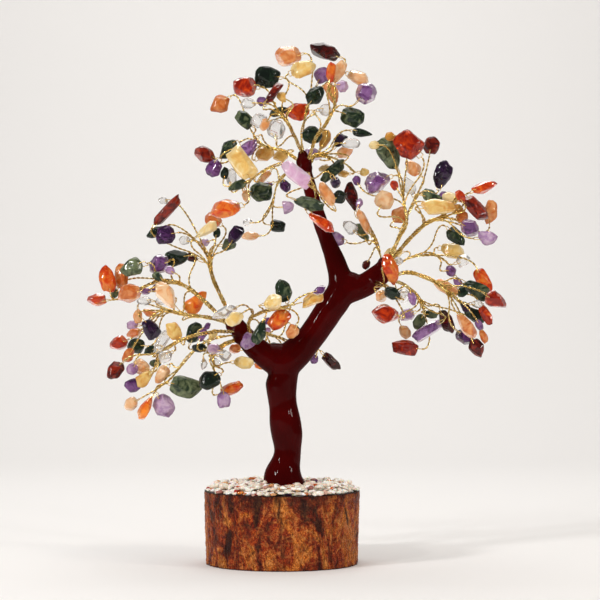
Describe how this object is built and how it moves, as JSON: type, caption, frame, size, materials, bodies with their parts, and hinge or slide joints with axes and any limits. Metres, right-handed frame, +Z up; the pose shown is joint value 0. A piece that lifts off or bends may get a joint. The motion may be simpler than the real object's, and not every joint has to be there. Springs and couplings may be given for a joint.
{
  "type": "gemstone tree ornament",
  "caption": "Ornamental tree: a forked lacquered trunk on a bark-edged log slice, with bendable wire sprigs that carry drilled, tumbled stone chips.",
  "frame": {"origin": "centre of the log slice's underside", "axes": "+Z up along the trunk, -Y to the front, +X towards the forked right limb"},
  "size_m": [0.2166, 0.0911, 0.2783],
  "materials": {
    "log_wood": "sawn and dry",
    "bark": "rough red-brown bark, varnished",
    "clear_glue": "clear glue",
    "lacquered_putty": "dark maroon gloss lacquer",
    "gold_wire": "gold-coloured soft wire",
    "tumbled_stone": "tumbled and polished, mixed kinds",
    "clear_quartz": "tumbled and polished",
    "peach_aventurine": "tumbled and polished",
    "red_jasper": "tumbled and polished",
    "carnelian": "tumbled and polished",
    "green_aventurine": "tumbled and polished",
    "amethyst": "tumbled and polished"
  },
  "bodies": {
    "tree": {"log_block": "log_wood", "bark": "bark", "glue_bed": "clear_glue", "wire_armature": "gold_wire", "trunk": "lacquered_putty", "quartz_gravel": "clear_quartz", "peach_gravel": "peach_aventurine", "jasper_gravel": "red_jasper", "carnelian_gravel": "carnelian", "aventurine_gravel": "green_aventurine", "amethyst_gravel": "amethyst"},
    "left_upper": {"left_upper_wires": "gold_wire", "left_upper_stones": "tumbled_stone"},
    "left_mid": {"left_mid_wires": "gold_wire", "left_mid_stones": "tumbled_stone"},
    "left_low": {"left_low_wires": "gold_wire", "left_low_stones": "tumbled_stone"},
    "left_down": {"left_down_wires": "gold_wire", "left_down_stones": "tumbled_stone"},
    "left_drop": {"left_drop_wires": "gold_wire", "left_drop_stones": "tumbled_stone"},
    "left_under": {"left_under_wires": "gold_wire", "left_under_stones": "tumbled_stone"},
    "left_inner": {"left_inner_wires": "gold_wire", "left_inner_stones": "tumbled_stone"},
    "left_back": {"left_back_wires": "gold_wire", "left_back_stones": "tumbled_stone"},
    "top_upper_left": {"top_upper_left_wires": "gold_wire", "top_upper_left_stones": "tumbled_stone"},
    "top_crown": {"top_crown_wires": "gold_wire", "top_crown_stones": "tumbled_stone"},
    "top_left": {"top_left_wires": "gold_wire", "top_left_stones": "tumbled_stone"},
    "top_upper_right": {"top_upper_right_wires": "gold_wire", "top_upper_right_stones": "tumbled_stone"},
    "top_right": {"top_right_wires": "gold_wire", "top_right_stones": "tumbled_stone"},
    "top_low_left": {"top_low_left_wires": "gold_wire", "top_low_left_stones": "tumbled_stone"},
    "top_under": {"top_under_wires": "gold_wire", "top_under_stones": "tumbled_stone"},
    "top_front": {"top_front_wires": "gold_wire", "top_front_stones": "tumbled_stone"},
    "right_upper": {"right_upper_wires": "gold_wire", "right_upper_stones": "tumbled_stone"},
    "right_inner": {"right_inner_wires": "gold_wire", "right_inner_stones": "tumbled_stone"},
    "right_high": {"right_high_wires": "gold_wire", "right_high_stones": "tumbled_stone"},
    "right_out": {"right_out_wires": "gold_wire", "right_out_stones": "tumbled_stone"},
    "right_mid": {"right_mid_wires": "gold_wire", "right_mid_stones": "tumbled_stone"},
    "right_low": {"right_low_wires": "gold_wire", "right_low_stones": "tumbled_stone"},
    "right_under": {"right_under_wires": "gold_wire", "right_under_stones": "tumbled_stone"},
    "right_near": {"right_near_wires": "gold_wire", "right_near_stones": "tumbled_stone"}
  },
  "joints": [
    {"name": "left_upper_bend", "type": "hinge", "parent": "tree", "child": "left_upper", "pos_m": [-0.02586, -0.00288, 0.12709], "axis": [0, 1, 0], "range_deg": [-6, 6]},
    {"name": "left_mid_bend", "type": "hinge", "parent": "tree", "child": "left_mid", "pos_m": [-0.02722, -0.00431, 0.12288], "axis": [0, 1, 0], "range_deg": [-6, 6]},
    {"name": "left_low_bend", "type": "hinge", "parent": "tree", "child": "left_low", "pos_m": [-0.02516, -0.0015, 0.12381], "axis": [0, 1, 0], "range_deg": [-6, 6]},
    {"name": "left_down_bend", "type": "hinge", "parent": "tree", "child": "left_down", "pos_m": [-0.02409, -0.00722, 0.12022], "axis": [0, 1, 0], "range_deg": [-6, 6]},
    {"name": "left_drop_bend", "type": "hinge", "parent": "tree", "child": "left_drop", "pos_m": [-0.02404, -0.00166, 0.11863], "axis": [0, 1, 0], "range_deg": [-6, 6]},
    {"name": "left_under_bend", "type": "hinge", "parent": "tree", "child": "left_under", "pos_m": [-0.02315, -0.00452, 0.11624], "axis": [0, 1, 0], "range_deg": [-6, 6]},
    {"name": "left_inner_bend", "type": "hinge", "parent": "tree", "child": "left_inner", "pos_m": [-0.0165, -0.00741, 0.118], "axis": [0, 1, 0], "range_deg": [-6, 6]},
    {"name": "left_back_bend", "type": "hinge", "parent": "tree", "child": "left_back", "pos_m": [-0.01637, 0.00133, 0.11703], "axis": [0, 1, 0], "range_deg": [-6, 6]},
    {"name": "top_upper_left_bend", "type": "hinge", "parent": "tree", "child": "top_upper_left", "pos_m": [0.01061, -0.00017, 0.21307], "axis": [0, 1, 0], "range_deg": [-6, 6]},
    {"name": "top_crown_bend", "type": "hinge", "parent": "tree", "child": "top_crown", "pos_m": [0.01106, 0.00334, 0.21212], "axis": [0, 1, 0], "range_deg": [-6, 6]},
    {"name": "top_left_bend", "type": "hinge", "parent": "tree", "child": "top_left", "pos_m": [0.00955, 0.00283, 0.209], "axis": [0, 1, 0], "range_deg": [-6, 6]},
    {"name": "top_upper_right_bend", "type": "hinge", "parent": "tree", "child": "top_upper_right", "pos_m": [0.01343, 0.00017, 0.20859], "axis": [0, 1, 0], "range_deg": [-6, 6]},
    {"name": "top_right_bend", "type": "hinge", "parent": "tree", "child": "top_right", "pos_m": [0.01381, 0.00336, 0.20627], "axis": [0, 1, 0], "range_deg": [-6, 6]},
    {"name": "top_low_left_bend", "type": "hinge", "parent": "tree", "child": "top_low_left", "pos_m": [0.01026, 0.00033, 0.20433], "axis": [0, 1, 0], "range_deg": [-6, 6]},
    {"name": "top_under_bend", "type": "hinge", "parent": "tree", "child": "top_under", "pos_m": [0.01189, 0.00431, 0.20181], "axis": [0, 1, 0], "range_deg": [-6, 6]},
    {"name": "top_front_bend", "type": "hinge", "parent": "tree", "child": "top_front", "pos_m": [0.01319, -0.0008, 0.20081], "axis": [0, 1, 0], "range_deg": [-6, 6]},
    {"name": "right_upper_bend", "type": "hinge", "parent": "tree", "child": "right_upper", "pos_m": [0.05602, -0.00535, 0.15772], "axis": [0, 1, 0], "range_deg": [-6, 6]},
    {"name": "right_inner_bend", "type": "hinge", "parent": "tree", "child": "right_inner", "pos_m": [0.05214, -0.00161, 0.15679], "axis": [0, 1, 0], "range_deg": [-6, 6]},
    {"name": "right_high_bend", "type": "hinge", "parent": "tree", "child": "right_high", "pos_m": [0.05363, -0.00044, 0.15509], "axis": [0, 1, 0], "range_deg": [-6, 6]},
    {"name": "right_out_bend", "type": "hinge", "parent": "tree", "child": "right_out", "pos_m": [0.05339, -0.00743, 0.15222], "axis": [0, 1, 0], "range_deg": [-6, 6]},
    {"name": "right_mid_bend", "type": "hinge", "parent": "tree", "child": "right_mid", "pos_m": [0.05352, 0.00042, 0.15073], "axis": [0, 1, 0], "range_deg": [-6, 6]},
    {"name": "right_low_bend", "type": "hinge", "parent": "tree", "child": "right_low", "pos_m": [0.05325, -0.00474, 0.14723], "axis": [0, 1, 0], "range_deg": [-6, 6]},
    {"name": "right_under_bend", "type": "hinge", "parent": "tree", "child": "right_under", "pos_m": [0.05058, 0.00155, 0.14746], "axis": [0, 1, 0], "range_deg": [-6, 6]},
    {"name": "right_near_bend", "type": "hinge", "parent": "tree", "child": "right_near", "pos_m": [0.04777, -0.00754, 0.14574], "axis": [0, 1, 0], "range_deg": [-6, 6]}
  ]
}
